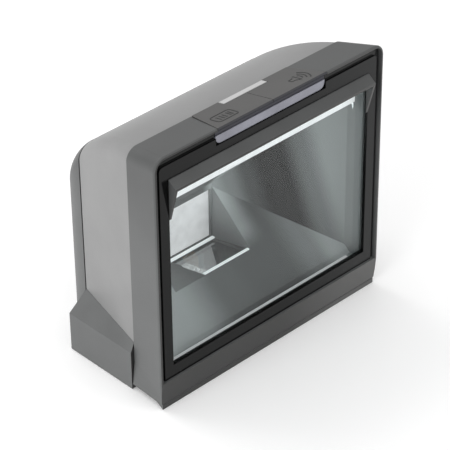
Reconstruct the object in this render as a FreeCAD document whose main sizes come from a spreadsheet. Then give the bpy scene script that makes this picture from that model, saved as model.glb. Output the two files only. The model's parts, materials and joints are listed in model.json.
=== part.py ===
import FreeCAD, Part
import math
import os
import re
from FreeCAD import Vector

# Upright counter barcode scanner. Millimetres, +Z up, window faces -Y, origin at the centre of the
# footprint on the counter top. Every driving size sits in the spreadsheet below.
SIZES = {
    # outer form
    "case_width": 152.0, "case_height": 144.5, "case_depth": 99.0, "hood_reach": 3.5,
    "face": -46.0, "bezel_back": -22.7, "seam": 23.1, "back": 49.5,
    "bezel_half_back": 72.1, "seam_half": 62.6, "bezel_top_back": 138.8,
    "corner": 6.5, "housing_corner": 7.0, "seam_corner": 8.5, "cover_corner": 12.0,
    "edge_round": 1.2,
    "chin_height": 16.3, "chin_setback": 1.2, "chin_kick": 1.0, "chin_flare": 1.6,
    "top_angle_front": 13.0, "top_angle_seam": 41.0, "side_angle_seam": 5.0,
    "wall": 2.2, "joint_gap": 0.4, "lap": 2.6,
    # base
    "base_low": 0.3, "base_high": 3.0, "case_low": 3.4, "foot_half": 74.0, "foot_crease": 22.5,
    "foot_join_front": 27.7, "foot_join_back": 31.3, "foot_low": 0.3,
    "pad_radius": 5.0, "pad_top": 1.1, "pad_x": 58.0, "pad_front": -36.0, "pad_rear_x": 43.5, "pad_rear": 31.0,
    "ear_inner": 36.4, "ear_outer": 58.0, "ear_tip": 51.0, "ear_back": 37.5,
    "insert_x": 35.0, "insert_y": 12.5, "insert_radius": 2.6, "insert_bore": 1.5, "insert_top": 8.9,
    # front panel, hood and window
    "panel_half": 72.0, "panel_low": 16.6, "panel_high": 138.4, "panel_front": -44.8,
    "panel_rear": -43.2, "panel_corner": 2.2, "groove_half": 74.2, "groove_high": 142.8,
    "groove_floor": -43.7, "groove_corner": 5.0, "window_half": 66.4, "window_low": 23.6, "window_high": 124.2,
    "hood_half": 66.4, "hood_top": 130.3, "hood_lip_top": 126.7, "hood_lip_low": 125.4,
    "hood_end_low": 108.0, "hood_cheek": 1.3, "hood_front": -49.5, "ring_half": 70.5, "ring_low": 20.5,
    "ring_high": 127.3, "ring_rear": -41.4, "glass_half": 69.1, "glass_low": 21.9,
    "glass_high": 125.9, "glass_front": -42.7, "glass_rear": -40.8, "gasket_rear": -40.5,
    # indicator lens and buttons
    "lens_half": 36.0, "lens_low": 134.9, "lens_high": 139.5, "lens_front": -44.2,
    "lens_rear": -40.0, "lens_corner": 3.5, "baffle_front": -43.8, "baffle_rear": -42.8,
    "baffle_high": 141.5, "button_outer": 35.8, "button_outer_back": 31.2, "button_gap": 0.35,
    "button_front": -45.8, "button_rear": -23.2, "button_top_front": 144.4,
    "button_top_rear": 139.4, "button_skin": 1.0, "strip_half": 14.2, "strip_front": -27.2,
    "strip_rear": -23.5, "strip_clear": 0.35, "press": 0.8, "stem_radius": 2.4,
    "stem_x": 17.5, "stem_y": -35.5, "tray_low": 131.6, "tray_high": 133.2, "tray_front": -39.6,
    "tray_rear": -23.4, "tray_half": 39.0, "switch_half": 3.0, "switch_high": 129.9,
    "switch_low": 126.6, "board": 1.6,
    # optics
    "flange_front": -40.3, "flange_rear": -38.8, "funnel_half": 68.0, "funnel_low": 17.0,
    "funnel_high": 123.0, "apex_y": 14.0, "apex_z": 60.0, "apex_left": -36.0,
    "apex_right": 15.6, "side_run": 44.0, "floor_slope": 0.9, "roof_slope": 1.1, "roof_z": 62.0,
    "shell": 1.5, "pane_front": -13.9, "pane_low": 28.6, "pane_high": 34.9, "pane": 1.2,
    "pane_left": -15.6,
    "bar_half": 62.0, "bar_front": -40.2, "bar_rear": -36.6, "upper_bar_low": 114.0,
    "upper_bar_high": 119.6, "lower_bar_high": 19.6, "strip_low": 10.6, "strip_high": 123.2,
    "barrel_radius": 6.0, "barrel_low": 9.5, "barrel_high": 21.5, "camera_half": 15.0,
    "camera_low": 5.6, "camera_screw_x": 12.2, "camera_screw_front": -11.2,
    "camera_screw_rear": 9.7,
    # electronics and connectors
    "main_front": 19.0, "main_half": 46.0, "main_low": 42.0, "main_high": 98.0,
    "bay_half": 34.0, "bay_front": 27.2, "bay_high": 27.5, "jack_front": 14.0, "jack_rear": 29.4,
    "jack_half": 7.2, "jack_low": 8.2, "jack_high": 21.6, "socket_half": 5.9, "socket_low": 11.2,
    "socket_high": 18.2, "socket_depth": 11.5, "host_x": -18.0, "aux_x": 2.0, "power_x": 20.0,
    "power_half": 4.6, "power_high": 19.2, "power_bore": 3.1, "power_pin": 1.0,
    "speaker_x": 49.0, "speaker_y": 0.0, "speaker_radius": 10.5, "outlet_low": 66.0,
    # fasteners
    "screw_radius": 1.2, "head_radius": 2.4, "head": 1.5, "post_radius": 2.6, "post_tip": 31.0,
}

doc = FreeCAD.newDocument("CounterScanner")
sheet = doc.addObject("Spreadsheet::Sheet", "Sizes")
for row, (alias, value) in enumerate(SIZES.items(), start=1):
    sheet.set("A%d" % row, alias)
    sheet.set("B%d" % row, str(value))
    sheet.setAlias("B%d" % row, alias)
doc.recompute()

parts = []          # every finished sub-part, in order
WORD = re.compile(r"[a-z_]+")


def size(alias):
    """A driving size as a number, read from the sheet."""
    return float(sheet.get(alias))


def formula(text):
    """An expression in which every size name points at the sheet."""
    return WORD.sub(lambda m: "Sizes." + m.group() if m.group() in SIZES else m.group(), str(text))


def bind(thing, **properties):
    for name, text in properties.items():
        thing.setExpression(name, formula(text))


def place(thing, x, y, z):
    for letter, text in zip("xyz", (x, y, z)):
        thing.setExpression(".Placement.Base." + letter, formula(text))


def keep(thing, label):
    """Mark an object as a finished sub-part that carries this name."""
    thing.Label = label
    parts.append(thing)
    return thing


def block(name, x, y, z):
    """A box between two expressions on each axis."""
    thing = doc.addObject("Part::Box", name)
    spans = (x, y, z)
    bind(thing, Length="(%s) - (%s)" % (x[1], x[0]), Width="(%s) - (%s)" % (y[1], y[0]),
         Height="(%s) - (%s)" % (z[1], z[0]))
    place(thing, *[span[0] for span in spans])
    return thing


TURNS = {"x": FreeCAD.Rotation(Vector(0, 1, 0), 90), "y": FreeCAD.Rotation(Vector(1, 0, 0), -90),
         "z": FreeCAD.Rotation()}


def rod(name, axis, centre, radius, low, high):
    """A cylinder along x, y or z; centre gives the other two coordinates in order."""
    thing = doc.addObject("Part::Cylinder", name)
    bind(thing, Radius=radius, Height="(%s) - (%s)" % (high, low))
    thing.Placement = FreeCAD.Placement(Vector(), TURNS[axis])
    spot = list(centre)
    spot.insert("xyz".index(axis), low)
    place(thing, *spot)
    return thing


def fuse(name, things):
    result = doc.addObject("Part::MultiFuse", name)
    result.Shapes = things
    result.Refine = True
    return result


def cut(name, base, tools):
    """The base with every tool taken away."""
    result = doc.addObject("Part::Cut", name)
    result.Base = base
    result.Tool = tools[0] if len(tools) == 1 else fuse(name + "_tools", tools)
    return result


def group(name, things):
    """Separate identical solids that share one node."""
    result = doc.addObject("Part::Compound", name)
    result.Links = things
    return result


def feature(name, shape):
    """A sub-part whose curved form is made directly, from sizes read from the sheet."""
    thing = doc.addObject("Part::Feature", name)
    thing.Shape = shape
    return thing


# ---- the curved outer form -----------------------------------------------------------------

def bend_radius(distance, first, last):
    """Radius of an arc that turns from one slope to another over a horizontal distance."""
    return distance / (math.sin(math.radians(last)) - math.sin(math.radians(first)))


def arc_drop(radius, first, run):
    """How far such an arc has fallen after a horizontal run."""
    start = math.radians(first)
    here = math.asin(min(1.0, math.sin(start) + run / radius))
    return radius * (math.cos(start) - math.cos(here))


def top_at(y):
    """Height of the case's crown line at a depth y."""
    bezel_back, seam = size("bezel_back"), size("seam")
    if y <= bezel_back:
        share = (y - size("face")) / (bezel_back - size("face"))
        return size("case_height") + share * (size("bezel_top_back") - size("case_height"))
    if y <= seam:
        radius = bend_radius(seam - bezel_back, size("top_angle_front"), size("top_angle_seam"))
        return size("bezel_top_back") - arc_drop(radius, size("top_angle_front"), y - bezel_back)
    radius = bend_radius(size("back") - seam, size("top_angle_seam"), 90.0)
    return top_at(seam) - arc_drop(radius, size("top_angle_seam"), y - seam)


def half_at(y):
    """Half width of the case at a depth y."""
    knots = [(size("face"), size("case_width") / 2), (size("bezel_back"), size("bezel_half_back")),
             (size("seam"), size("seam_half"))]
    for (y0, half0), (y1, half1) in zip(knots, knots[1:]):
        if y <= y1:
            return half0 + (y - y0) / (y1 - y0) * (half1 - half0)
    radius = bend_radius(size("back") - size("seam"), size("side_angle_seam"), 90.0)
    return size("seam_half") - arc_drop(radius, size("side_angle_seam"), y - size("seam"))


def section(y, half, top, corner, low, kick=0.0, knee=1.0):
    """Closed outline across the case: upright sides, rounded top corners, kicked-in foot."""
    slack = corner * (1 - math.sqrt(0.5))

    def at(x, z):
        return Vector(x, y, z)
    left, right = corner - half, half - corner
    edges = [
        Part.makeLine(at(kick - half, low), at(-half, knee)),
        Part.makeLine(at(-half, knee), at(-half, top - corner)),
        Part.Arc(at(-half, top - corner), at(slack - half, top - slack), at(left, top)).toShape(),
        Part.makeLine(at(left, top), at(right, top)),
        Part.Arc(at(right, top), at(half - slack, top - slack), at(half, top - corner)).toShape(),
        Part.makeLine(at(half, top - corner), at(half, knee)),
        Part.makeLine(at(half, knee), at(half - kick, low)),
        Part.makeLine(at(half - kick, low), at(kick - half, low)),
    ]
    return Part.Wire(edges)


def corner_at(y):
    """Radius of the case's top corners behind the bezel, which grows towards the rear."""
    knots = [(size("bezel_back"), size("housing_corner")), (size("seam"), size("seam_corner")),
             (size("back"), size("cover_corner"))]
    y = max(knots[0][0], min(y, knots[-1][0]))
    for (y0, r0), (y1, r1) in zip(knots, knots[1:]):
        if y <= y1:
            return r0 + (y - y0) / (y1 - y0) * (r1 - r0)


def case_section(y, inset, low):
    return section(y, half_at(y) - inset, top_at(y) - inset, corner_at(y) - inset, low, 0.0, low + 1.0)


def case_block(depths, inset, low):
    """Solid between sections of the outer form, all moved inwards by the inset."""
    return Part.makeLoft([case_section(y, inset, low) for y in depths], True, False)


def brick(x0, x1, y0, y1, z0, z1):
    return Part.makeBox(x1 - x0, y1 - y0, z1 - z0, Vector(x0, y0, z0))


def prism(corners, along):
    """Straight-sided outline pushed out along a vector."""
    return Part.Face(Part.makePolygon(corners + corners[:1])).extrude(along)


def profile(points, half, left=None):
    """Prism of an outline in the YZ plane, from left (or -half) to +half in x."""
    start = -half if left is None else left
    return prism([Vector(start, y, z) for y, z in points], Vector(half - start, 0, 0))


def both_sides(x):
    return (-x, x)


# ---- case parts ----------------------------------------------------------------------------

def bezel_outer():
    """Tapered ring form with a rounded front edge, a chin that tucks in and a flared heel."""
    face, back, round_ = size("face"), size("bezel_back"), size("edge_round")
    low, chin, setback = size("case_low"), size("chin_height"), size("chin_setback")
    stations = [(back, 0.0, -size("chin_flare"))]
    for turn in (0, 30, 60, 90):
        angle = math.radians(turn)
        y = face + round_ * (1 - math.sin(angle))
        stations.append((y, round_ * (1 - math.cos(angle)), size("chin_kick")))
    loops = [section(y, half_at(y) - inset, top_at(y) - inset, size("corner"), low, kick, chin)
             for y, inset, kick in sorted(stations)]
    form = Part.makeLoft(loops, True, True)
    wedge = profile([(face - 1, chin), (face, chin), (face + setback, low), (face + setback, low - 1),
                     (face - 1, low - 1)], size("case_width"))
    return form.cut(wedge)


def rounded_plate(half, low, high, corner, y0, y1):
    """Upright plate across the case whose two top corners are rounded."""
    wire = section(y0, half, high, corner, low, 0.0, low + 1.0)
    return Part.Face(wire).extrude(Vector(0, y1 - y0, 0))


def front_bezel():
    """Dark frame: pocket for the panel, opening for the window, trough and tray for the buttons."""
    face, back, wall = size("face"), size("bezel_back"), size("wall")
    form = bezel_outer()
    gap = size("joint_gap") / 2
    pocket = rounded_plate(size("groove_half") + gap, size("panel_low") - gap,
                           size("groove_high") + gap, size("groove_corner"), face - 5,
                           size("panel_rear"))
    ring, ring_rear = size("ring_half"), size("ring_rear")
    opening = brick(-ring, ring, face, ring_rear + 1, size("ring_low"), size("ring_high"))
    hollow = Part.makeLoft([section(y, half_at(y) - wall, top_at(y) - wall, size("corner") - wall,
                                    -5.0, 0.0, 1.0) for y in (ring_rear, back + 1)], True, True)
    floor = size("tray_high")
    lean = (size("button_outer") - size("button_outer_back")) / (size("button_rear")
                                                                 - size("button_front"))
    rim = [(size("button_outer") + size("button_gap") - lean * (y - size("button_front")), y)
           for y in (face - 1, back + 1)]
    trough = prism([Vector(x, y, floor) for x, y in rim] + [Vector(-x, y, floor) for x, y in rim[::-1]],
                   Vector(0, 0, 40))
    lens = size("lens_half") + gap
    lens_slot = brick(-lens, lens, face - 1, size("lens_rear") + gap, size("lens_low") - gap,
                      size("baffle_high") + gap)
    tray_half, tray_front = size("tray_half"), ring_rear - 0.5
    tray = brick(-tray_half, tray_half, tray_front, size("tray_rear"), size("tray_low"), floor)
    leg = 1.6
    legs = [brick(x, x + leg, tray_front, size("tray_rear"), size("tray_low"), size("bezel_top_back"))
            for x in (-tray_half, tray_half - leg)]
    tray = tray.multiFuse(legs)
    shape = form.cut(pocket).cut(opening).cut(hollow)
    shape = shape.fuse(tray.common(form)).cut(trough).cut(lens_slot)
    for x in both_sides(size("stem_x")):
        stem = Part.makeCylinder(size("stem_radius") + size("button_gap"), 10,
                                 Vector(x, size("stem_y"), size("tray_low") - 2))
        shape = shape.cut(stem)
    return keep(feature("front_bezel", shape.removeSplitter()), "front_bezel")


def lap_ring(y0, y1, low):
    """Thin tongue just inside the outer wall, so a seam can't be seen through."""
    start, end, thick = size("wall") + 0.2, size("wall") + 1.0, 1.4
    outer = Part.makeLoft([case_section(y0, start, low), case_section(y1, end, low)], True, True)
    inner = Part.makeLoft([case_section(y0 - 0.1, start + thick, low - 5),
                           case_section(y1 + 0.1, end + thick, low - 5)], True, True)
    return outer.cut(inner)


def below_feet_line(extra):
    """Everything under the line where the side feet meet the wall."""
    y0, y1 = size("bezel_back") - 2, size("seam") + 6
    rise = (size("foot_join_back") - size("foot_join_front")) / (size("seam") - size("bezel_back"))
    z0 = size("foot_join_front") - 2 * rise + extra
    z1 = size("foot_join_back") + 6 * rise + extra
    return profile([(y0, -10), (y1, -10), (y1, z1), (y0, z0)], size("case_width"))


def middle_housing():
    """Light wrap-round shell: two sides and an arched top, open front, rear and bottom."""
    gap = size("joint_gap")
    y0, y1 = size("bezel_back") + 0.2, size("seam")
    steps = 5
    stations = [y0 + (y1 - y0) * i / steps for i in range(steps + 1)]
    outer = case_block(stations, gap, size("case_low"))
    longer = [y0 - 1] + stations[1:-1] + [y1 + 0.3]
    shell = outer.cut(case_block(longer, size("wall") + gap, -5.0)).cut(below_feet_line(0.15))
    tongue = lap_ring(y1 - 3, y1 + size("lap"), 0.0).cut(below_feet_line(3.4))
    return keep(feature("middle_housing", shell.fuse(tongue).removeSplitter()), "middle_housing")


def cover_sections(inset, low, reach):
    """Sections of the domed rear cover; reach squeezes them towards the seam for the inside."""
    seam, back = size("seam") + 0.5, size("back")
    first = size("side_angle_seam")
    radius = bend_radius(back - seam, first, 90.0)
    skin = 0.2
    steps = 6
    wires = []
    for i in range(steps + 1):
        angle = math.radians(first + (90.0 - first) * i / steps)
        run = radius * (math.sin(angle) - math.sin(math.radians(first)))
        depth = seam + run
        wires.append(section(seam + run * reach, half_at(depth) - inset - skin,
                             top_at(depth) - inset - skin, corner_at(depth) - inset * 0.5, low,
                             0.0, low + 1.0))
    return wires


def rear_cover():
    """Domed dark shell with a connector bay, board posts and a slotted sound outlet."""
    wall, seam, back = size("wall"), size("seam"), size("back")
    low = size("foot_low")
    outer = Part.makeLoft(cover_sections(0.0, low, 1.0), True, False)
    reach = 1.0 - wall / (back - seam)
    inner = Part.makeLoft(cover_sections(wall, -5.0, reach), True, False)
    edge = [section(y, half_at(seam) - wall - 0.2, top_at(seam) - wall - 0.2,
                    corner_at(seam) - wall * 0.5, -5.0, 0.0, 1.0) for y in (seam - 1, seam + 0.6)]
    shell = outer.cut(inner).cut(Part.makeLoft(edge, True, True))
    half, front, high = size("bay_half"), size("bay_front"), size("bay_high")
    thick = 2.0
    bay_block = brick(-half - thick, half + thick, front - thick, back + 5, low, high + thick)
    bay_hole = brick(-half, half, front, back + 5, low - 1, high)
    post_tip = size("post_tip")
    posts = [Part.makeCylinder(size("post_radius") + 0.8, back - post_tip, Vector(x, post_tip, z),
                               Vector(0, 1, 0))
             for x in both_sides(size("main_half") - 6)
             for z in (size("main_low") + 6, size("main_high") - 10)]
    shape = shell.fuse(bay_block.common(outer)).multiFuse([p.common(outer) for p in posts])
    shape = shape.cut(bay_hole)
    gap = 0.2
    for centre, width, top in ((size("host_x"), size("jack_half"), size("jack_high")),
                               (size("aux_x"), size("jack_half"), size("jack_high")),
                               (size("power_x"), size("power_half"), size("power_high"))):
        shape = shape.cut(brick(centre - width - gap, centre + width + gap, front - 4, front + 1,
                                size("jack_low") - gap, top + gap))
    pitch, slot, reach_x = 4.0, 1.6, 12.0
    for i in range(5):
        z = size("outlet_low") + pitch * i
        shape = shape.cut(brick(-reach_x, reach_x, back - 6, back + 2, z, z + slot))
    return keep(feature("rear_cover", shape.removeSplitter()), "rear_cover")


def side_feet():
    """Dark outrigger feet: upright outside, sloping shoulder up to the wall, tongue inside it."""
    y0, y1 = size("bezel_back") + 0.3, size("seam")
    for name, side in (("foot_left", -1), ("foot_right", 1)):
        wires = []
        for y, join in ((y0, size("foot_join_front")), (y1, size("foot_join_back"))):
            skin = half_at(y) - size("joint_gap")
            inner = skin - size("wall") - 0.2
            outline = [(inner - 1.4, size("foot_low")), (size("foot_half"), size("foot_low")),
                       (size("foot_half"), size("foot_crease")), (skin, join), (inner, join),
                       (inner, join + 3), (inner - 1.4, join + 3)]
            corners = [Vector(side * x, y, z) for x, z in outline]
            wires.append(Part.makePolygon(corners + corners[:1]))
        keep(feature(name, Part.makeLoft(wires, True, True)), name)


def bottom_plate():
    """Floor plate with a lip that shows under the chin, pad pockets and bosses for the inserts."""
    low, high = size("base_low"), size("base_high")
    up = Vector(0, 0, high - low)
    face = size("face") + size("chin_setback")
    margin = 5.0
    seam_side = size("bay_front") - 2.4
    outline = [(half_at(face) - 1.5, face), (half_at(size("bezel_back")) - margin, size("bezel_back")),
               (half_at(size("seam")) - margin, size("seam")), (half_at(size("seam")) - margin, seam_side)]
    corners = [Vector(x, y, low) for x, y in outline]
    corners += [Vector(-x, y, low) for x, y in reversed(outline)]
    plate = prism(corners, up)
    for s in (-1, 1):
        ear = [(size("ear_inner"), seam_side - 1), (size("ear_outer"), seam_side - 1),
               (size("ear_outer"), seam_side), (size("ear_tip"), size("ear_back")),
               (size("ear_inner"), size("ear_back"))]
        plate = plate.fuse(prism([Vector(s * x, y, low) for x, y in ear], up))
    holes = []
    for x in both_sides(size("insert_x")):
        for y in both_sides(size("insert_y")):
            plate = plate.fuse(Part.makeCylinder(size("insert_radius") + 1.6, size("insert_top") - low,
                                                 Vector(x, y, low)))
            holes.append(Part.makeCylinder(size("insert_radius"), size("insert_top") - low + 2,
                                           Vector(x, y, low - 1)))
    for x in both_sides(size("camera_screw_x")):
        for y in (size("camera_screw_front"), size("camera_screw_rear")):
            plate = plate.fuse(Part.makeCylinder(size("post_radius"), size("camera_low") - high,
                                                 Vector(x, y, high)))
            holes.append(Part.makeCylinder(size("screw_radius") + 0.05, 10, Vector(x, y, high - 1)))
    for x, y in ((size("pad_x"), size("pad_front")), (size("pad_rear_x"), size("pad_rear"))):
        for side in both_sides(x):
            holes.append(Part.makeCylinder(size("pad_radius") + 0.1, size("pad_top"), Vector(side, y, 0)))
    slot, pitch, reach = 0.6, 3.0, 6.0
    for i in (-2, -1, 0, 1, 2):
        x, y = size("speaker_x") + pitch * i, size("speaker_y")
        holes.append(brick(x - slot, x + slot, y - reach, y + reach, low - 1, high + 1))
    plate = plate.cut(Part.makeCompound(holes))
    return keep(feature("bottom_plate", plate.removeSplitter()), "bottom_plate")


def rubber_feet():
    pads = []
    for row, (x, y) in enumerate((("pad_x", "pad_front"), ("pad_rear_x", "pad_rear"))):
        for column, sign in enumerate(("-", "")):
            pads.append(rod("pad_%d%d" % (row, column), "z", (sign + x, y), "pad_radius", "0",
                            "pad_top - 0.02"))
    keep(group("rubber_feet_group", pads), "rubber_feet")


# ---- front panel, window and buttons -------------------------------------------------------

def front_panel():
    """Gloss frame round the window, standing out of a wider black flange that lines the groove."""
    front, rear = size("panel_front"), size("panel_rear")
    plate = rounded_plate(size("panel_half"), size("panel_low"), size("panel_high"),
                          size("panel_corner"), front, rear)
    flange = rounded_plate(size("groove_half"), size("panel_low"), size("groove_high"),
                           size("groove_corner"), size("groove_floor"), rear)
    shape = plate.fuse(flange)
    win = size("window_half")
    shape = shape.cut(brick(-win, win, front - 1, rear + 1, size("window_low"), size("window_high")))
    lens = size("lens_half") + 0.2
    shape = shape.cut(brick(-lens, lens, front - 1, rear + 1, size("lens_low") - 0.2,
                            size("groove_high") + 1))
    return keep(feature("front_panel", shape.removeSplitter()), "front_panel")


def window_hood():
    """Small satin hood over the window; its two cheeks run down and fade into the panel."""
    front, tip = size("panel_front"), size("hood_front")
    hood = profile([(front, size("hood_top")), (tip, size("hood_lip_top")), (tip, size("hood_lip_low")),
                    (front, size("hood_end_low"))], size("hood_half"))
    under = profile([(tip - 1, size("hood_lip_low")), (tip, size("hood_lip_low")),
                     (front, size("window_high")), (front + 1, size("window_high")),
                     (front + 1, size("window_low")), (tip - 1, size("window_low"))],
                    size("hood_half") - size("hood_cheek"))
    keep(feature("window_hood", hood.cut(under).removeSplitter()), "window_hood")


def window_and_gasket():
    x, z = ("-glass_half", "glass_half"), ("glass_low", "glass_high")
    keep(block("window_pane", x, ("glass_front", "glass_rear"), z), "window_glass")
    outer = block("gasket_outer", ("-(ring_half - 0.1)", "ring_half - 0.1"),
                  ("panel_rear + 0.02", "gasket_rear"), ("ring_low + 0.1", "ring_high - 0.1"))
    seat = block("gasket_seat", ("-(glass_half + 0.05)", "glass_half + 0.05"),
                 ("glass_front - 0.02", "gasket_rear + 1"), ("glass_low - 0.05", "glass_high + 0.05"))
    view = block("gasket_view", ("-(glass_half - 1.2)", "glass_half - 1.2"),
                 ("panel_rear - 1", "gasket_rear + 1"), ("glass_low + 1.2", "glass_high - 1.2"))
    keep(cut("gasket", outer, [seat, view]), "window_gasket")


def indicator_lens():
    """Translucent bar with rounded lower corners, under a black light baffle."""
    half, low, high = size("lens_half"), size("lens_low"), size("lens_high")
    bar = brick(-half, half, size("lens_front"), size("lens_rear"), low, high)
    edges = [e for e in bar.Edges if abs(e.CenterOfMass.z - low) < 0.01 and
             abs(abs(e.CenterOfMass.x) - half) < 0.01]
    keep(feature("indicator_lens", bar.makeFillet(size("lens_corner"), edges)), "indicator_lens")
    keep(block("baffle", ("-lens_half", "lens_half"), ("baffle_front", "baffle_rear"),
               ("lens_high + 0.05", "baffle_high")), "lens_baffle")


def button(name, side):
    """Sloping cap with a stepped rear edge, a front skirt and a stem that meets its switch."""
    gap = size("button_gap")
    mid = gap / 2
    strip = size("strip_half") + size("strip_clear")
    front, rear, notch = size("button_front"), size("button_rear"), size("strip_front") - 0.35
    plan = [(mid, front), (size("button_outer"), front), (size("button_outer_back"), rear),
            (strip, rear), (strip, notch), (mid, notch)]
    column = prism([Vector(side * x, y, size("tray_high")) for x, y in plan], Vector(0, 0, 20))
    skin, top0, top1 = size("button_skin"), size("button_top_front"), size("button_top_rear")
    sheet_shape = profile([(front, top0 - skin), (front, top0 - 0.5), (front + 0.5, top0), (rear, top1),
                           (rear, top1 - skin)], size("case_width"))
    cap = column.common(sheet_shape)
    x, y = side * size("stem_x"), size("stem_y")
    bottom = size("switch_high") + size("press") + 0.1
    cap_z = top0 - skin / 2 + (y - front) / (rear - front) * (top1 - top0)
    stem = Part.makeCylinder(size("stem_radius"), cap_z - bottom, Vector(x, y, bottom))
    return keep(feature(name, cap.fuse(stem).removeSplitter()), name)


def top_trim_strip():
    """Light strip let into the rear edge of the buttons; it stands on the bezel's tray."""
    slope = (size("button_top_front") - size("button_top_rear")) / (size("button_rear")
                                                                    - size("button_front"))
    front, rear = size("strip_front"), size("strip_rear")
    z0 = size("button_top_front") - slope * (front - size("button_front"))
    z1 = size("button_top_front") - slope * (rear - size("button_front"))
    base = size("tray_high") + 0.02
    bar = profile([(front, base), (front, z0), (rear, z1), (rear, base)], size("strip_half"))
    keep(feature("top_trim_strip", bar), "top_trim_strip")


def button_electronics():
    top = "switch_low"
    keep(block("button_pcb", ("-tray_half + 4", "tray_half - 4"), ("tray_front + 1", "tray_rear - 2"),
               ("switch_low - board", top)), "button_board")
    bodies = []
    for i, x in enumerate(("-stem_x", "stem_x")):
        bodies.append(block("switch_body_%d" % i, (x + " - switch_half", x + " + switch_half"),
                            ("stem_y - switch_half", "stem_y + switch_half"), (top, "switch_high - 1")))
        bodies.append(rod("switch_dome_%d" % i, "z", (x, "stem_y"), "1.5", "switch_high - 1",
                          "switch_high"))
    pairs = [fuse("switch_%d" % i, bodies[2 * i:2 * i + 2]) for i in range(2)]
    keep(group("switches", pairs), "button_switches")
    leds = [block("status_led_%d" % i, ("%d * 12 - 1.6" % i, "%d * 12 + 1.6" % i),
                  ("ring_rear + 0.2 + 1.6", "ring_rear + 0.2 + 3.0"),
                  ("switch_low", "switch_low + 2.4")) for i in (-2, -1, 0, 1, 2)]
    keep(group("status_led_row", leds), "status_leds")


# ---- optics --------------------------------------------------------------------------------

def funnel_solid(grow):
    """Wedge-ended funnel from the window back to a short upright line; grow thickens it."""
    front = size("flange_front")
    apex_y, half = size("apex_y"), size("funnel_half")
    low, high = size("funnel_low"), size("funnel_high")
    side_y = apex_y - size("side_run")
    spread = 1 + 1.5 * grow / half
    plan = [(-half, front), (half, front), (half, side_y + grow), (size("apex_right"), apex_y + grow),
            (size("apex_left"), apex_y + grow), (-half, side_y + grow)]
    column = prism([Vector(x * spread, y, 0) for x, y in plan], Vector(0, 0, size("case_height")))
    floor_slope, roof_slope = size("floor_slope"), size("roof_slope")
    floor_y = apex_y - (size("apex_z") - low) / floor_slope
    roof_y = max(front + 0.1, apex_y - (high - size("roof_z")) / roof_slope)
    roof_front = size("roof_z") + (apex_y - roof_y) * roof_slope
    lift = grow * 1.35
    rear = apex_y + grow
    side = profile([(front, low - lift), (floor_y, low - lift),
                    (rear, size("apex_z") - lift + grow * floor_slope),
                    (rear, size("roof_z") + lift - grow * roof_slope),
                    (roof_y, roof_front + lift), (front, roof_front + lift)], 90.0)
    return column.common(side)


def notch_floor(y, grow):
    """Height of the notch's sloping floor at a depth y; grow moves it outwards."""
    front, rear = size("pane_front") - grow, size("apex_y") + grow
    high, low = size("pane_high") - grow, size("pane_low") - grow
    return high + (y - front) / (rear - front) * (low - high)


def notch_prism(grow):
    """Space cut into the funnel's floor in front of the white panel, down to the small pane."""
    rear, front = size("apex_y") + grow, size("pane_front") - grow
    points = [(rear, notch_floor(rear, grow)), (rear, size("roof_z") - 1.0),
              (front, size("pane_high") + 30.0), (front, notch_floor(front, grow))]
    return profile(points, size("apex_right") + grow, size("apex_left") - grow)


def optic_shroud():
    """Thin grey funnel with a flange behind the window and a notch in its floor."""
    shell, margin = size("shell"), 1.0
    outer = funnel_solid(shell).fuse(notch_prism(shell).common(funnel_under()))
    ring, half = size("ring_half") + 0.5, size("funnel_half")
    front, rear = size("flange_front"), size("flange_rear")
    flange = brick(-ring, ring, front, rear, size("funnel_low") - 2, size("funnel_high") + 3)
    shape = outer.fuse(flange).cut(funnel_solid(0.0)).cut(notch_prism(0.0).common(funnel_under()))
    shape = shape.cut(brick(-half, half, front - 1, rear, size("funnel_low"), size("funnel_high")))
    left, right = size("pane_left") + margin, size("apex_right") - margin
    y0, y1 = size("pane_front") + margin, size("apex_y") - margin
    shape = shape.cut(profile([(y0, notch_floor(y0, 0) + 0.5), (y1, notch_floor(y1, 0) + 0.5),
                               (y1, notch_floor(y1, shell) - 2), (y0, notch_floor(y0, shell) - 2)],
                              right, left))
    shape = shape.cut(brick(size("apex_left") + margin, right, size("apex_y") - 1, size("apex_y") + 4,
                            size("pane_low") + margin, size("apex_z") - margin))
    bar, room = size("bar_half") + 0.1, 0.1
    shape = shape.cut(brick(-bar, bar, size("bar_front") - room, size("bar_rear") + room,
                            size("upper_bar_low") - room, size("upper_bar_high") + room))
    slot_y = size("bar_front") + 1.2
    shape = shape.cut(brick(2 - bar, bar - 2, slot_y, slot_y + 1.2, size("funnel_low") - 4,
                            size("funnel_low") + 1))
    return keep(feature("optic_shroud", shape.removeSplitter()), "optic_shroud")


def funnel_under():
    """Half space below the funnel's roof."""
    return brick(-90, 90, -60, 60, 0, size("roof_z") - 0.5)


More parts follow.
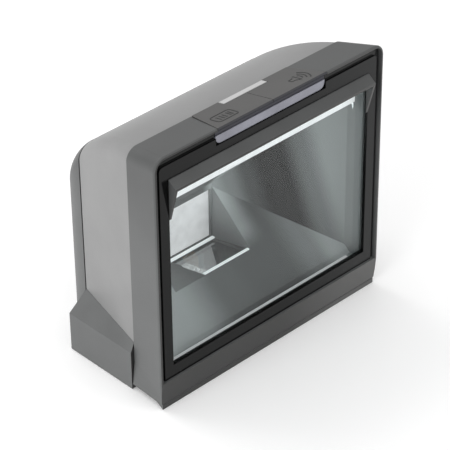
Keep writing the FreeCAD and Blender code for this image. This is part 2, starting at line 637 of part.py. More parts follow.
def optic_panes():
    """White panel, small pane and fold mirror, each held just off the outside of the funnel."""
    shell, right = size("shell"), size("apex_right")
    rear = size("apex_y") + shell
    panel = brick(size("apex_left") - shell, right + shell, rear + 0.02, rear + 1.5,
                  size("pane_low") - 1, size("roof_z") - 0.5)
    keep(feature("diffuser_panel", panel), "diffuser_panel")
    y0, y1 = size("pane_front") + 0.5, size("apex_y")
    top0, top1 = notch_floor(y0, shell) - 0.05, notch_floor(y1, shell) - 0.05
    thick = size("pane")
    pane = profile([(y0, top0), (y1, top1), (y1, top1 - thick), (y0, top0 - thick)], right + 1,
                   size("pane_left") - 1)
    keep(feature("camera_window", pane), "camera_window")
    lift = shell * 1.35 + 0.05
    m0, m1, half, thick = -16.0, 8.0, 20.0, 2.0
    z0, z1 = [size("roof_z") + (size("apex_y") - y) * size("roof_slope") + lift for y in (m0, m1)]
    mirror = profile([(m0, z0), (m1, z1), (m1, z1 + thick), (m0, z0 + thick)], half)
    keep(feature("fold_mirror", mirror), "fold_mirror")
    clips = []
    for x in both_sides(12.0):
        for y, z in ((m0 - 1.2, z0 + 1.5), (m1, z1 + 0.4)):
            clips.append(brick(x - 2, x + 2, y + 0.02, y + 1.18, z, z + 3.6))
    keep(feature("mirror_clips", Part.makeCompound(clips)), "mirror_clips")


def light_bars():
    """White diffuser bars along the top and bottom of the window with their LED boards."""
    x, y = ("-bar_half", "bar_half"), ("bar_front", "bar_rear")
    keep(block("top_bar", x, y, ("upper_bar_low", "upper_bar_high")), "upper_light_bar")
    keep(block("low_bar", x, y, ("funnel_low + 0.02", "lower_bar_high")), "lower_light_bar")
    boards = (("upper", "strip_high", ("flange_rear + 0.3", "flange_rear + 9"),
               ("strip_high - 1.2", "strip_high"), ("flange_rear + 3", "flange_rear + 6")),
              ("lower", "strip_low", ("bar_front + 0.6", "bar_front + 9"),
               ("strip_low + board", "strip_low + board + 1.2"), ("bar_front + 0.9", "bar_front + 3")))
    for name, low, depth, chip_z, chip_y in boards:
        keep(block(name + "_pcb", x, depth, (low, low + " + board")), name + "_led_board")
        chips = [block("%s_chip_%d" % (name, i), ("%d * 14 - 1.5" % i, "%d * 14 + 1.5" % i), chip_y,
                       chip_z) for i in range(-4, 5)]
        keep(group(name + "_chips", chips), name + "_leds")


def camera_module():
    """Upward-looking camera: board on four posts, sensor, lens holder, barrel and front lens."""
    pcb = block("camera_pcb", ("-camera_half", "camera_half"), ("-camera_half + 1", "camera_half - 2.5"),
                ("camera_low", "camera_low + board"))
    holes, screws = [], []
    for i, x in enumerate(("-camera_screw_x", "camera_screw_x")):
        for j, y in enumerate(("camera_screw_front", "camera_screw_rear")):
            tag = "%d%d" % (i, j)
            holes.append(rod("camera_hole_" + tag, "z", (x, y), "screw_radius + 0.15",
                             "camera_low - 1", "camera_low + 4"))
            screws.append(screw("camera_screw_" + tag, "z", (x, y), "camera_low + board", 1, 3.5))
    keep(cut("camera_board_cut", pcb, holes), "camera_board")
    keep(group("camera_screw_group", screws), "camera_screws")
    top = "camera_low + board"
    keep(block("sensor_chip", ("-4.5", "4.5"), ("-4.5", "4.5"), (top, top + " + 1.2")), "image_sensor")
    body = block("holder_block", ("-8.5", "8.5"), ("-8.5", "8.5"), (top, "barrel_low + 4"))
    room = block("holder_room", ("-5", "5"), ("-5", "5"), (top + " - 1", "barrel_low - 0.4"))
    bore = rod("holder_bore", "z", ("0", "0"), "barrel_radius - 0.5", "barrel_low - 1", "barrel_low + 6")
    keep(cut("holder", body, [room, bore]), "lens_holder")
    tube = rod("barrel_tube", "z", ("0", "0"), "barrel_radius - 0.6", "barrel_low", "barrel_high")
    aperture = rod("barrel_bore", "z", ("0", "0"), "barrel_radius - 2.4", "barrel_low - 1",
                   "barrel_high + 1")
    seat = rod("barrel_seat", "z", ("0", "0"), "barrel_radius - 1.6", "barrel_high - 2",
               "barrel_high + 1")
    keep(cut("barrel", tube, [aperture, seat]), "lens_barrel")
    ball = doc.addObject("Part::Sphere", "lens_ball")
    ball.Radius = 9.0
    place(ball, "0", "0", "barrel_high - 9")
    disc = rod("lens_disc", "z", ("0", "0"), "barrel_radius - 1.65", "barrel_high - 1.95",
               "barrel_high")
    lens = doc.addObject("Part::MultiCommon", "lens_element")
    lens.Shapes = [ball, disc]
    keep(lens, "front_lens")


# ---- electronics ---------------------------------------------------------------------------

POST_X = ("-(main_half - 6)", "main_half - 6")
POST_Z = ("main_low + 6", "main_high - 10")


def main_electronics():
    front = "main_front"
    pcb = block("main_pcb", ("-main_half", "main_half"), (front, "main_front + board"),
                ("main_low", "main_high"))
    holes = [rod("main_hole_%d%d" % (i, j), "y", (x, z), "screw_radius + 0.15", front + " - 1",
                 front + " + 3")
             for i, x in enumerate(POST_X) for j, z in enumerate(POST_Z)]
    keep(cut("main_board_cut", pcb, holes), "main_board")
    back = "main_front + board"
    keep(block("chip", ("-26", "-12"), (back, back + " + 1.6"), ("60", "74")), "processor_chip")
    keep(block("can", ("2", "24"), (back, back + " + 2.6"), ("56", "78")), "shield_can")
    posts, screws = [], []
    for i, x in enumerate(POST_X):
        for j, z in enumerate(POST_Z):
            tag = "%d%d" % (i, j)
            post = rod("post_" + tag, "y", (x, z), "post_radius", back, "post_tip")
            bore = rod("post_bore_" + tag, "y", (x, z), "screw_radius + 0.05", back + " - 1",
                       back + " + 6")
            posts.append(cut("post_cut_" + tag, post, [bore]))
            screws.append(screw("board_screw_" + tag, "y", (x, z), front, -1, 5.5))
    keep(group("posts", posts), "board_standoffs")
    keep(group("board_screw_group", screws), "board_screws")


def screw(name, axis, centre, seat, side, length):
    """Pan-head screw: the head sits on the seat, on its low side (-1) or high side (+1)."""
    if side < 0:
        head = rod(name + "_head", axis, centre, "head_radius", seat + " - head", seat)
        shank = rod(name + "_shank", axis, centre, "screw_radius", seat + " - head / 2",
                    "%s + %s" % (seat, length))
    else:
        head = rod(name + "_head", axis, centre, "head_radius", seat, seat + " + head")
        shank = rod(name + "_shank", axis, centre, "screw_radius", "%s - %s" % (seat, length),
                    seat + " + head / 2")
    return fuse(name, [head, shank])


def jack(name, centre):
    body = block(name + "_body", (centre + " - jack_half", centre + " + jack_half"),
                 ("jack_front", "jack_rear"), ("jack_low", "jack_high"))
    socket = block(name + "_socket", (centre + " - socket_half", centre + " + socket_half"),
                   ("jack_rear - socket_depth", "jack_rear + 1"), ("socket_low", "socket_high"))
    latch = block(name + "_latch", (centre + " - 1.6", centre + " + 1.6"),
                  ("jack_rear - 6", "jack_rear + 1"), ("socket_high - 0.5", "socket_high + 1.8"))
    keep(cut(name + "_cut", body, [socket, latch]), name)


def connectors():
    keep(block("interface_pcb", ("-bay_half + 4", "bay_half - 4"), ("jack_front - 0.5",
                                                                  "bay_front - 2.4"),
               ("jack_low - board", "jack_low")), "interface_board")
    jack("interface_jack", "host_x")
    jack("aux_jack", "aux_x")
    body = block("power_body", ("power_x - power_half", "power_x + power_half"),
                 ("jack_front", "jack_rear"), ("jack_low", "power_high"))
    middle = "(jack_low + power_high) / 2"
    bore = rod("power_hole", "y", ("power_x", middle), "power_bore", "jack_rear - 9.5", "jack_rear + 1")
    pin = rod("power_centre", "y", ("power_x", middle), "power_pin", "jack_rear - 10", "jack_rear - 0.5")
    keep(fuse("power_socket", [cut("power_cut", body, [bore]), pin]), "power_jack")


def speaker_parts():
    spot = ("speaker_x", "speaker_y")
    basket = rod("basket", "z", spot, "speaker_radius", "base_high + 0.6", "base_high + 3.4")
    magnet = rod("magnet", "z", spot, "speaker_radius - 5", "base_high + 3", "base_high + 6.4")
    keep(fuse("speaker_unit", [basket, magnet]), "speaker")
    ring = rod("ring", "z", spot, "speaker_radius + 1.6", "base_high", "base_high + 4")
    room = rod("ring_room", "z", spot, "speaker_radius + 0.1", "base_high + 0.6", "base_high + 5")
    view = rod("ring_view", "z", spot, "speaker_radius - 2", "base_high - 1", "base_high + 1")
    keep(cut("speaker_ring", ring, [room, view]), "speaker_bracket")


def camera_ribbon():
    """Flat ribbon from the camera board back and up to the main board, with two square bends."""
    half, thick = 4.0, 0.3
    top = size("camera_low") + size("board")
    y0, y1 = size("camera_half") - 2.3, size("main_front") - 0.4
    bend, meet, end = 22.5, 26.0, size("main_low") + 4
    points = [(y0 - 3, top), (y0, top), (y0, bend), (y1, meet), (y1, end), (y1 + 0.4, end),
              (y1 + 0.4, end + thick), (y1 - thick, end + thick), (y1 - thick, meet + 0.2),
              (y0 - thick, bend + 0.2), (y0 - thick, top + thick), (y0 - 3, top + thick)]
    keep(feature("camera_ribbon", profile(points, half)), "camera_ribbon")


def inserts_and_label():
    sleeves = []
    for i, x in enumerate(("-insert_x", "insert_x")):
        for j, y in enumerate(("-insert_y", "insert_y")):
            tag = "%d%d" % (i, j)
            sleeve = rod("sleeve_" + tag, "z", (x, y), "insert_radius - 0.02", "base_low + 0.1",
                         "insert_top")
            bore = rod("sleeve_bore_" + tag, "z", (x, y), "insert_bore", "0", "insert_top + 1")
            sleeves.append(cut("insert_" + tag, sleeve, [bore]))
    keep(group("insert_group", sleeves), "threaded_inserts")
    keep(block("label", ("-22", "22"), ("-34", "-20"), ("base_low - 0.22", "base_low - 0.01")),
         "label_plate")


def export():
    """Check the whole document, then write one STEP file per sub-part."""
    doc.recompute()
    for thing in doc.Objects:
        if "Invalid" in thing.State or "Error" in thing.State:
            raise RuntimeError("failed object: %s %s" % (thing.Name, thing.State))
    os.makedirs("parts", exist_ok=True)
    for thing in parts:
        if thing.Shape.isNull() or not thing.Shape.isValid() or thing.Shape.Volume <= 0:
            raise RuntimeError("bad shape: " + thing.Label)
        thing.Shape.exportStep("parts/%s.step" % thing.Label)
        print("%-20s solids %d volume %9.1f" % (thing.Label, len(thing.Shape.Solids),
                                                 thing.Shape.Volume))


front_bezel()
middle_housing()
rear_cover()
side_feet()
bottom_plate()
rubber_feet()
front_panel()
window_hood()
window_and_gasket()
indicator_lens()
button("button_left", -1)
button("button_right", 1)
top_trim_strip()
button_electronics()
optic_shroud()
optic_panes()
light_bars()
camera_module()
main_electronics()
connectors()
speaker_parts()
camera_ribbon()
inserts_and_label()
export()
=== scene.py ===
import json
import math
import random

import bmesh
import bpy
from mathutils import Matrix, Vector


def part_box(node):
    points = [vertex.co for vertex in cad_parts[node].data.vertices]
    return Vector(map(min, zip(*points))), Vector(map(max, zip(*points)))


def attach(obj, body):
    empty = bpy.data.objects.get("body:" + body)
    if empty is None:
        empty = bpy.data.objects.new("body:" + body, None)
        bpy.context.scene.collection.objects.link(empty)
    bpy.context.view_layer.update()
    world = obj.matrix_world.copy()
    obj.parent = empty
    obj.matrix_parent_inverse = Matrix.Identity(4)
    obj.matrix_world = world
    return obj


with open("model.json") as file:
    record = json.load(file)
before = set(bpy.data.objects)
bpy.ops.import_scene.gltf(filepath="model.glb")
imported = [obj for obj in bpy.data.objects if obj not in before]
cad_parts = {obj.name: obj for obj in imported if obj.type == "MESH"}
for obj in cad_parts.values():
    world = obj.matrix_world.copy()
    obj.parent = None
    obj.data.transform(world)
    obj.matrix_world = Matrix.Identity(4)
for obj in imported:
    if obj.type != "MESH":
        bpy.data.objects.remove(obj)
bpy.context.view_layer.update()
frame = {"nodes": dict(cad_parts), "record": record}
NODES = frame["nodes"]

MM = 0.001
EDGE_SOFTENING = 0.45 * MM      # radius to which the shading rounds every moulded edge
EDGE_SAMPLES = 4


# ---- small helpers -----------------------------------------------------------------------------

def material(name):
    """New node material; returns it with its nodes, links and Principled shader."""
    mat = bpy.data.materials.new(name)
    mat.use_nodes = True
    nodes = mat.node_tree.nodes
    return mat, nodes, mat.node_tree.links, nodes["Principled BSDF"]


def ramp(nodes, links, source, low, high, dark, light):
    """Colour ramp from dark to light between two positions of a factor."""
    node = nodes.new("ShaderNodeValToRGB")
    node.color_ramp.elements[0].position = low
    node.color_ramp.elements[1].position = high
    node.color_ramp.elements[0].color = (*dark, 1)
    node.color_ramp.elements[1].color = (*light, 1)
    links.new(source, node.inputs["Fac"])
    return node.outputs["Color"]


def span(nodes, links, source, low, high):
    """A 0-1 factor mapped to a range of roughness or similar."""
    node = nodes.new("ShaderNodeMapRange")
    node.inputs["To Min"].default_value = low
    node.inputs["To Max"].default_value = high
    links.new(source, node.inputs["Value"])
    return node.outputs["Result"]


def coords(nodes, links, scale=(1, 1, 1)):
    """Object coordinates in metres, scaled."""
    where = nodes.new("ShaderNodeTexCoord")
    mapping = nodes.new("ShaderNodeMapping")
    mapping.inputs["Scale"].default_value = scale
    links.new(where.outputs["Object"], mapping.inputs["Vector"])
    return mapping.outputs["Vector"]


def noise(nodes, links, vector, scale, detail=3.0, rough=0.5):
    """Fractal noise, 0-1, at a scale in cells to the metre."""
    node = nodes.new("ShaderNodeTexNoise")
    node.inputs["Scale"].default_value = scale
    node.inputs["Detail"].default_value = detail
    node.inputs["Roughness"].default_value = rough
    links.new(vector, node.inputs["Vector"])
    return node.outputs["Fac"]


def bump(nodes, links, shader, height, strength, distance):
    """Fine relief laid over normals that the softened edges have already rounded."""
    node = nodes.new("ShaderNodeBump")
    node.inputs["Strength"].default_value = strength
    node.inputs["Distance"].default_value = distance
    links.new(height, node.inputs["Height"])
    links.new(node.outputs["Normal"], shader.inputs["Normal"])
    soft = nodes.new("ShaderNodeBevel")
    soft.samples = EDGE_SAMPLES
    soft.inputs["Radius"].default_value = EDGE_SOFTENING
    links.new(soft.outputs["Normal"], node.inputs["Normal"])


def shade(level):
    """Linear value of a grey given as 0-255 display level."""
    c = level / 255.0
    return c / 12.92 if c <= 0.04045 else ((c + 0.055) / 1.055) ** 2.4


def grey(level, tint=(1.0, 1.0, 1.0)):
    """Linear RGB of a display grey, tinted."""
    return tuple(shade(level) * t for t in tint)


def tones(nodes, links, source, low, high, stops, tint=(1.0, 1.0, 1.0)):
    """Greys given as (place, level) pairs along a value that runs from low to high."""
    place = nodes.new("ShaderNodeMapRange")
    place.inputs["From Min"].default_value = low
    place.inputs["From Max"].default_value = high
    links.new(source, place.inputs["Value"])
    node = nodes.new("ShaderNodeValToRGB")
    node.color_ramp.interpolation = "EASE"
    points = node.color_ramp.elements
    while len(points) < len(stops):
        points.new(0.5)
    for point, (where, level) in zip(points, stops):
        point.position = (where - low) / (high - low)
        point.color = (*grey(level, tint), 1)
    links.new(place.outputs["Result"], node.inputs["Fac"])
    return node.outputs["Color"]


def split(nodes, links, vector):
    """The X, Y and Z outputs of a vector."""
    node = nodes.new("ShaderNodeSeparateXYZ")
    links.new(vector, node.inputs["Vector"])
    return node.outputs


def facing(nodes, links, axis, low, high):
    """0-1 mask of how far the surface's own normal points along an object axis."""
    where = nodes.new("ShaderNodeTexCoord")
    node = nodes.new("ShaderNodeMapRange")
    node.inputs["From Min"].default_value = low
    node.inputs["From Max"].default_value = high
    links.new(split(nodes, links, where.outputs["Normal"])[axis], node.inputs["Value"])
    return node.outputs["Result"]


def blend(nodes, links, factor, first, second, kind="MIX"):
    """Colour mix; the factor and either colour may be a socket or a constant."""
    node = nodes.new("ShaderNodeMix")
    node.data_type = "RGBA"
    node.blend_type = kind
    node.clamp_result = True
    factor_in, first_in, second_in = node.inputs[0], node.inputs[6], node.inputs[7]
    for socket, value in ((factor_in, factor), (first_in, first), (second_in, second)):
        if hasattr(value, "links"):
            links.new(value, socket)
        else:
            socket.default_value = value
    return node.outputs[2]


def sum_of(nodes, links, first, second, weight):
    """first + weight * second."""
    node = nodes.new("ShaderNodeMath")
    node.operation = "MULTIPLY_ADD"
    node.inputs[1].default_value = weight
    links.new(second, node.inputs[0])
    links.new(first, node.inputs[2])
    return node.outputs["Value"]


# ---- materials ---------------------------------------------------------------------------------

def moulded(name, dark, light, rough=(0.42, 0.55), grain=2600.0, depth=0.00003, specular=0.5,
             shadow=None):
    """Moulded plastic with fine spark-eroded grain, faint blotches of tone and sheen."""
    mat, nodes, links, shader = material(name)
    vector = coords(nodes, links)
    broad = noise(nodes, links, vector, 45.0, 4.0)
    fine = noise(nodes, links, vector, grain, 2.0, 0.6)
    colour = ramp(nodes, links, broad, 0.35, 0.65, dark, light)
    if shadow:
        colour = shadow(nodes, links, vector, colour)
    links.new(colour, shader.inputs["Base Color"])
    links.new(span(nodes, links, broad, rough[0], rough[1]), shader.inputs["Roughness"])
    shader.inputs["Specular IOR Level"].default_value = specular
    bump(nodes, links, shader, fine, 0.35, depth)
    return mat


def painted_case_shade(nodes, links, vector, colour):
    """Painted shade: darker towards the top; the front face is painted darker and browner at its
    left than its right.
    """
    place = split(nodes, links, vector)
    # painted shade: the case darkens towards its top
    height = tones(nodes, links, place["Z"], 0.0, 0.15, ((0.02, 255), (0.07, 250), (0.135, 208)))
    colour = blend(nodes, links, 1.0, colour, height, "MULTIPLY")
    # painted shade across the front face, darkest and browner at its left
    across = tones(nodes, links, place["X"], -0.076, 0.076,
                   ((-0.076, 120), (0.0, 132), (0.06, 215)), (1.0, 0.97, 0.95))
    painted_front_face_shade = blend(nodes, links, 1.0, colour, across, "MULTIPLY")
    return blend(nodes, links, facing(nodes, links, "Y", -0.8, -0.97), colour, painted_front_face_shade)


def front_shade(nodes, links, vector, colour):
    """The buttons' front edge is in the deep blue shade of the lens slot."""
    navy = (*grey(30, NAVY), 1)
    return blend(nodes, links, facing(nodes, links, "Y", -0.5, -0.8), colour, navy)


def funnel(name):
    """Satin grey funnel; its walls and its floor each carry their own bands of painted light and
    shade, and the floor a painted glint along its edge by the notch.
    """
    mat, nodes, links, shader = material(name)
    vector = coords(nodes, links)
    place = split(nodes, links, vector)
    # painted light and shade on the walls, in bands across them
    lean = sum_of(nodes, links, place["X"], place["Z"], 0.19)
    wall = tones(nodes, links, lean, 0.0, 0.09,
                 ((0.020, 105), (0.027, 190), (0.034, 150), (0.042, 78), (0.049, 8), (0.057, 6),
                  (0.066, 118), (0.075, 165)), COOL)
    # painted light and shade on the floor: light at its left and right ends, dark in the middle
    floor = tones(nodes, links, place["X"], -0.07, 0.07,
                  ((-0.066, 205), (-0.040, 178), (-0.010, 98), (0.012, 84), (0.030, 84),
                   (0.048, 130), (0.066, 205)), COOL)
    # painted highlight: a glint along the floor's edge by the notch
    near = tones(nodes, links, place["X"], 0.0, 0.05, ((0.0152, 0), (0.0160, 255), (0.030, 0)))
    deep = tones(nodes, links, place["Y"], -0.02, 0.02, ((-0.0145, 0), (-0.004, 190), (0.012, 255)))
    glint = blend(nodes, links, 1.0, near, deep, "MULTIPLY")
    floor = blend(nodes, links, glint, floor, (*grey(212, COOL), 1))
    colour = blend(nodes, links, facing(nodes, links, "Z", 0.15, 0.35), wall, floor)
    fine = noise(nodes, links, vector, 700.0, 2.0, 0.6)
    links.new(colour, shader.inputs["Base Color"])
    links.new(span(nodes, links, noise(nodes, links, vector, 40.0), 0.4, 0.52),
              shader.inputs["Roughness"])
    shader.inputs["Specular IOR Level"].default_value = 0.06
    bump(nodes, links, shader, fine, 0.02, 0.000005)
    return mat


def gloss(name, rough=(0.1, 0.18)):
    """Polished near-black plastic with a faint orange peel and hairline wipe marks; its front face
    carries a painted reflection, lighter towards its right.
    """
    mat, nodes, links, shader = material(name)
    vector = coords(nodes, links)
    peel = noise(nodes, links, vector, 320.0, 2.0)
    wipes = noise(nodes, links, coords(nodes, links, (40.0, 40.0, 900.0)), 3.0, 4.0)
    # painted reflection: the front-facing surface grows lighter from left to right
    across = tones(nodes, links, split(nodes, links, vector)["X"], -0.076, 0.076,
                   ((-0.072, 8), (0.0, 12), (0.072, 34)), COOL)
    front = facing(nodes, links, "Y", -0.7, -0.95)
    links.new(blend(nodes, links, front, (*grey(8), 1), across), shader.inputs["Base Color"])
    shader.inputs["Specular IOR Level"].default_value = 0.16
    links.new(span(nodes, links, wipes, rough[0], rough[1]), shader.inputs["Roughness"])
    bump(nodes, links, shader, peel, 0.06, 0.00002)
    return mat


def clear(name, tint, rough, mirror):
    """Thin clear pane: mostly see-through, with a Fresnel reflection and faint smears."""
    mat, nodes, links, shader = material(name)
    vector = coords(nodes, links)
    smear = noise(nodes, links, vector, 60.0, 5.0)
    shader.inputs["Base Color"].default_value = (*tint, 1)
    links.new(span(nodes, links, smear, rough, rough + 0.05), shader.inputs["Roughness"])
    through = nodes.new("ShaderNodeBsdfTransparent")
    through.inputs["Color"].default_value = (*tint, 1)
    glossy = nodes.new("ShaderNodeBsdfGlossy")
    links.new(span(nodes, links, smear, rough, rough + 0.03), glossy.inputs["Roughness"])
    weight = nodes.new("ShaderNodeLayerWeight")
    steep = nodes.new("ShaderNodeMath")
    steep.operation = "POWER"
    steep.inputs[1].default_value = 4.0
    links.new(weight.outputs["Facing"], steep.inputs[0])
    mix = nodes.new("ShaderNodeMixShader")
    links.new(span(nodes, links, steep.outputs["Value"], mirror, 0.8), mix.inputs["Fac"])
    links.new(through.outputs["BSDF"], mix.inputs[1])
    links.new(glossy.outputs["BSDF"], mix.inputs[2])
    out = [n for n in nodes if n.type == "OUTPUT_MATERIAL"][0]
    links.new(mix.outputs["Shader"], out.inputs["Surface"])
    nodes.remove(shader)
    return mat


def glowing(name, level, tint, strength, rough=0.45):
    """White diffuser plastic that gathers light along its length; on the pane's edges, the clip and
    the film its glow is a painted highlight.
    """
    mat, nodes, links, shader = material(name)
    vector = coords(nodes, links)
    mottled = noise(nodes, links, vector, 180.0, 3.0)
    links.new(ramp(nodes, links, mottled, 0.3, 0.7, grey(level - 18, tint), grey(level, tint)),
              shader.inputs["Base Color"])
    links.new(span(nodes, links, mottled, rough - 0.1, rough + 0.1), shader.inputs["Roughness"])
    shader.inputs["Emission Color"].default_value = (*grey(level, tint), 1)
    shader.inputs["Emission Strength"].default_value = strength
    bump(nodes, links, shader, mottled, 0.1, 0.00003)
    return mat


def metal(name, dark, light, rough=(0.25, 0.4), stretch=(1.0, 1.0, 30.0)):
    """Brushed metal whose brushing is finest along z."""
    mat, nodes, links, shader = material(name)
    brushed = noise(nodes, links, coords(nodes, links, stretch), 400.0, 3.0)
    links.new(ramp(nodes, links, brushed, 0.3, 0.7, dark, light), shader.inputs["Base Color"])
    links.new(span(nodes, links, brushed, rough[0], rough[1]), shader.inputs["Roughness"])
    shader.inputs["Metallic"].default_value = 1.0
    bump(nodes, links, shader, brushed, 0.08, 0.00002)
    return mat


def circuit(name):
    """Green solder resist with lighter cell borders, like traces, showing through it."""
    mat, nodes, links, shader = material(name)
    vector = coords(nodes, links)
    cells = nodes.new("ShaderNodeTexVoronoi")
    cells.feature = "DISTANCE_TO_EDGE"
    cells.inputs["Scale"].default_value = 350.0
    links.new(vector, cells.inputs["Vector"])
    colour = ramp(nodes, links, cells.outputs["Distance"], 0.03, 0.09, (0.03, 0.16, 0.06),
                  (0.01, 0.07, 0.03))
    links.new(colour, shader.inputs["Base Color"])
    shader.inputs["Roughness"].default_value = 0.3
    bump(nodes, links, shader, cells.outputs["Distance"], 0.2, 0.00004)
    return mat


COOL = (0.97, 1.0, 1.0)
WARM = (1.02, 1.0, 0.98)
LAVENDER = (0.94, 0.95, 1.12)
NAVY = (0.8, 0.85, 1.5)

MATERIALS = {
    # the dark case carries painted shade towards its top and across its front
    "dark_case": moulded("dark_case", grey(92, COOL), grey(98, COOL), shadow=painted_case_shade),
    "light_case": moulded("light_case", grey(130), grey(136), (0.38, 0.5)),
    "gloss_black": gloss("gloss_black"),
    "button": moulded("button", grey(72, WARM), grey(78, WARM), shadow=front_shade),
    "navy_baffle": moulded("navy_baffle", grey(28, NAVY), grey(34, NAVY)),
    "silver_strip": moulded("silver_strip", grey(186), grey(194), (0.3, 0.4)),
    "window_glass": clear("window_glass", (0.96, 0.985, 0.985), 0.01, 0.02),
    "rubber": moulded("rubber", grey(26), grey(34), (0.7, 0.85)),
    "indicator": moulded("indicator", grey(122, LAVENDER), grey(138, LAVENDER), (0.15, 0.25)),
    "funnel_grey": funnel("funnel_grey"),
    "white_diffuser": glowing("white_diffuser", 232, (1.02, 0.99, 1.0), 0.3),
    "clear_pane": clear("clear_pane", (0.9, 0.95, 0.95), 0.05, 0.32),
    "mirror": metal("mirror", (0.85, 0.86, 0.87), (0.9, 0.9, 0.9), (0.02, 0.05)),
    "steel": metal("steel", (0.5, 0.5, 0.5), (0.62, 0.62, 0.62)),
    "circuit_board": circuit("circuit_board"),
    "led": glowing("led", 225, (1, 0.98, 0.9), 0.2),
    "chip": moulded("chip", grey(34), grey(40)),
    "black_plastic": moulded("black_plastic", grey(30), grey(38), (0.4, 0.55)),
    "brass": metal("brass", (0.6, 0.42, 0.16), (0.75, 0.55, 0.25)),
    "ribbon": moulded("ribbon", (0.45, 0.22, 0.05), (0.5, 0.26, 0.07), (0.25, 0.35)),
    "label": moulded("label", grey(196), grey(204), (0.4, 0.5)),
}

for part in frame["record"]["subparts"]:
    target = NODES[part["node"]]
    target.data.materials.clear()
    target.data.materials.append(MATERIALS[part["material_slot"]])


# ---- detail pieces -----------------------------------------------------------------------------

def finish_piece(name, mesh, mat, body="root"):
    """Turn a bmesh, built in millimetres, into a piece that rides on a body."""
    bmesh.ops.recalc_face_normals(mesh, faces=mesh.faces)
    bmesh.ops.scale(mesh, vec=(MM, MM, MM), verts=mesh.verts)
    data = bpy.data.meshes.new(name)
    mesh.to_mesh(data)
    mesh.free()
    data.materials.append(mat)
    piece = bpy.data.objects.new(name, data)
    bpy.context.scene.collection.objects.link(piece)
    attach(piece, body)


def box_mm(node):
    """A node's lowest and highest corners in millimetres."""
    return [Vector(corner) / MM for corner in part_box(node)]


def sweep(mesh, path, profile, closed=False):
    """Skin a profile of (side, up) offsets along a path of 3-D points; ends are closed."""
    count, rows = len(path), []
    for i, spot in enumerate(path):
        before = path[i - 1] if i or closed else spot
        after = path[(i + 1) % count] if i < count - 1 or closed else spot
        along = (after - before).normalized()
        side = along.cross(Vector((0, 0, 1))).normalized()
        rows.append([mesh.verts.new(spot + side * a + Vector((0, 0, b))) for a, b in profile])
    size = len(profile)
    pairs = list(zip(rows, rows[1:]))
    if closed:
        pairs.append((rows[-1], rows[0]))
    else:
        mesh.faces.new(rows[0])
        mesh.faces.new(rows[-1])
    for here, there in pairs:
        for j in range(size):
            k = (j + 1) % size
            mesh.faces.new((here[j], here[k], there[k], there[j]))


def arc(centre, radius, start, end, steps=8):
    """Points along a circle between two angles in degrees."""
    turns = [math.radians(start + (end - start) * i / steps) for i in range(steps + 1)]
    return [(centre[0] + radius * math.cos(t), centre[1] + radius * math.sin(t)) for t in turns]


def rounded_frame(width, height, radius):
    """Closed outline of a rectangle with round corners, centred on the origin."""
    x, y = width / 2 - radius, height / 2 - radius
    corners = (((x, y), 0), ((-x, y), 90), ((-x, -y), 180), ((x, -y), 270))
    return [point for centre, turn in corners for point in arc(centre, radius, turn, turn + 90, 4)]


def button_icon(side, centre, strokes):
    """Line icon that stands a hair proud of a button's sloping top."""
    name = "button_" + side
    low, high = box_mm(name)
    lip = 0.5                           # the slope starts this far behind the front edge
    top = NODES[name].data
    rear = max(v.co.z for v in top.vertices if v.co.y / MM > high.y - 0.01) / MM
    slope = (high.z - rear) / (high.y - low.y - lip)
    half, proud, sink = 0.4, 0.1, 0.05
    bead = ((-half, -sink), (half, -sink), (half, proud * 0.6), (0, proud), (-half, proud * 0.6))
    mesh = bmesh.new()
    for path, closed in strokes:
        points = []
        for x, y in path:
            depth = centre[1] + y
            height = high.z - slope * (depth - low.y - lip)
            points.append(Vector((centre[0] + x, depth, height)))
        sweep(mesh, points, bead, closed)
    finish_piece("icon_" + side, mesh, MATERIALS["icon"], side + "_button")


def icons():
    """Framed bars on the left button; a speaker with waves on the right one."""
    outline = rounded_frame(12.5, 7.6, 1.8)
    bars = [([(x, -2.0), (x, 2.0)], False) for x in (-3.6, -1.6, 0.2, 2.6, 4.0)]
    button_icon("left", (-24.0, -37.6), [(outline, True)] + bars)
    cone = [(-5.2, -1.2), (-3.2, -1.2), (-0.6, -3.2), (-0.6, 3.2), (-3.2, 1.2), (-5.2, 1.2)]
    waves = [(arc((-0.8, 0), radius, -48, 48), False) for radius in (2.6, 4.6, 6.6)]
    button_icon("right", (24.5, -37.8), [(cone, True)] + waves)


def pane_edges():
    """Polished front and rear edges of the small pane, with a painted highlight where they catch
    the lamps.
    """
    low, high = box_mm("camera_window")
    rise, inset, rear_left, steps = 1.75, 1.1, -35.8, 12
    bead = ((-0.9, -0.3), (0.9, -0.3), (0.9, 0.15), (0.3, 0.4), (-0.9, 0.3))
    mesh = bmesh.new()
    x1 = high.x - inset
    for y, z, x0 in ((low.y + 0.8, high.z + rise, low.x + inset),
                     (high.y - 1.0, low.z + rise + 1.5, rear_left)):
        path = [Vector((x0 + (x1 - x0) * i / steps, y, z)) for i in range(steps + 1)]
        sweep(mesh, path, bead)
    finish_piece("pane_edge_beads", mesh, MATERIALS["painted_edge_glint"])


def crumpled_film():
    """Loose end of the pane's clear film, creased along the pane's left edge; its crinkles glow
    with a painted highlight.
    """
    low, high = box_mm("camera_window")
    random.seed(7)
    rows, across = 16, 6
    width, length, drop, thickness = 3.8, 15.0, 3.3, 0.15
    wander, fold = 0.3, 1.3             # how far a point strays sideways, and how high a crease is
    mesh = bmesh.new()
    grid = []
    for i in range(rows):
        share = i / (rows - 1)
        y = low.y + 1.5 + share * length
        z = high.z + 1.9 - share * drop
        row = []
        for j in range(across):
            side = j / (across - 1)
            row.append(mesh.verts.new(Vector((
                low.x + 0.6 + width * j / (across - 1) + random.uniform(-wander, wander),
                y + random.uniform(-0.35, 0.35),
                z + random.uniform(0.0, fold) * math.sin(math.pi * side)))))
        grid.append(row)
    for here, there in zip(grid, grid[1:]):
        for j in range(across - 1):
            mesh.faces.new((here[j], here[j + 1], there[j + 1], there[j]))
    bmesh.ops.solidify(mesh, geom=mesh.faces[:], thickness=thickness)
    finish_piece("creased_film", mesh, MATERIALS["film"])


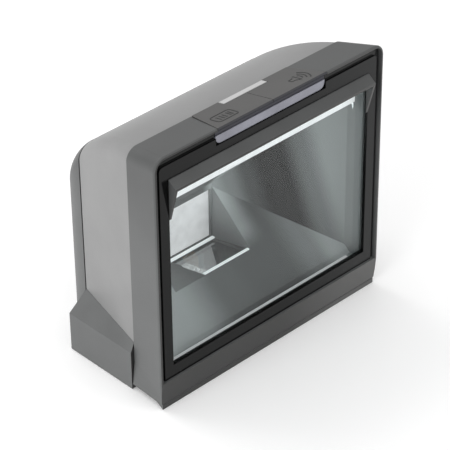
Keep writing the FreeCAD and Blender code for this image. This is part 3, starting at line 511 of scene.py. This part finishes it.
def bar_clip():
    """Small hook, bright with a painted highlight, that holds the right end of the upper light bar.
    """
    low, high = box_mm("upper_light_bar")
    x, y = high.x - 1.2, low.y + 0.3
    mesh = bmesh.new()
    path = [Vector((x + 0.2, y + 2.2, low.z + 0.3)), Vector((x, y + 0.4, low.z - 0.3)),
            Vector((x + 0.1, y - 0.05, low.z - 1.6)), Vector((x, y, low.z - 3.4))]
    sweep(mesh, path, ((-0.5, -0.3), (0.5, -0.3), (0.5, 0.2), (0, 0.4), (-0.5, 0.2)))
    finish_piece("light_bar_clip", mesh, MATERIALS["painted_edge_glint"])


MATERIALS["icon"] = moulded("icon", grey(22, WARM), grey(28, WARM))
# painted highlight: the pane's edges and the clip glow white
MATERIALS["painted_edge_glint"] = glowing("painted_edge_glint", 238, COOL, 0.55, 0.2)
# painted highlight: the clear film's crinkles glow white
MATERIALS["film"] = glowing("film", 236, COOL, 0.42, 0.12)
icons()
pane_edges()
crumpled_film()
bar_clip()


# ---- studio ------------------------------------------------------------------------------------

def stage_floor():
    """White floor that carries the shadow; it isn't part of the scanner."""
    mesh = bpy.data.meshes.new("studio_floor")
    half = 4.0
    mesh.from_pydata([(-half, -half, 0), (half, -half, 0), (half, half, 0), (-half, half, 0)], [],
                     [(0, 1, 2, 3)])
    floor = bpy.data.objects.new("studio_floor", mesh)
    bpy.context.scene.collection.objects.link(floor)
    mat, nodes, links, shader = material("studio_floor")
    soft = noise(nodes, links, coords(nodes, links), 3.0)
    links.new(ramp(nodes, links, soft, 0.3, 0.7, (0.93, 0.93, 0.93), (0.95, 0.95, 0.95)),
              shader.inputs["Base Color"])
    shader.inputs["Roughness"].default_value = 0.6
    shader.inputs["Emission Color"].default_value = (1, 1, 1, 1)
    shader.inputs["Emission Strength"].default_value = 0.12
    mesh.materials.append(mat)


def area_light(name, where, target, size, power):
    """White rectangular lamp that points at a target."""
    data = bpy.data.lights.new(name, "AREA")
    data.shape = "RECTANGLE"
    data.size, data.size_y = size
    data.energy = power
    lamp = bpy.data.objects.new(name, data)
    bpy.context.scene.collection.objects.link(lamp)
    lamp.location = where
    lamp.rotation_euler = (Vector(target) - Vector(where)).to_track_quat("-Z", "Y").to_euler()


def studio():
    """Even white surroundings, a broad key from the left, a front fill and a rear top light."""
    stage_floor()
    world = bpy.data.worlds.new("studio")
    bpy.context.scene.world = world
    world.use_nodes = True
    sky = world.node_tree.nodes["Background"]
    sky.inputs["Color"].default_value = (1, 1, 1, 1)
    sky.inputs["Strength"].default_value = 0.75
    centre = (0, 0, 0.07)
    area_light("key", (-1.3, -0.2, 0.7), centre, (0.9, 0.9), 8.0)
    area_light("front", (0.6, -1.3, 0.6), centre, (0.8, 0.8), 4.0)
    area_light("back_top", (-0.2, 0.9, 1.3), centre, (1.0, 0.7), 6.0)
    bpy.context.scene.view_settings.view_transform = "Standard"


LENS_MM, SENSOR_MM = 180.4, 36.0
CAMERA_TURNS = (-43.59, 34.80, -0.71)   # azimuth, elevation and roll, degrees
CAMERA_TARGET_MM = (5.64, -6.0, 50.97)
CAMERA_DISTANCE_MM = 1130.5


def camera():
    """Long lens from the front left and above."""
    data = bpy.data.cameras.new("camera")
    data.lens = LENS_MM
    data.sensor_width = SENSOR_MM
    data.clip_start = 0.05
    view = bpy.data.objects.new("camera", data)
    bpy.context.scene.collection.objects.link(view)
    azimuth, elevation, roll = (math.radians(a) for a in CAMERA_TURNS)
    back = Vector((math.sin(azimuth) * math.cos(elevation),
                   -math.cos(azimuth) * math.cos(elevation),
                   math.sin(elevation)))
    target = Vector(CAMERA_TARGET_MM) * MM
    view.location = target + back * CAMERA_DISTANCE_MM * MM
    aim = (-back).to_track_quat("-Z", "Y").to_matrix()
    view.rotation_euler = (aim @ Matrix.Rotation(roll, 3, "Z")).to_euler()
    bpy.context.scene.camera = view


studio()
camera()
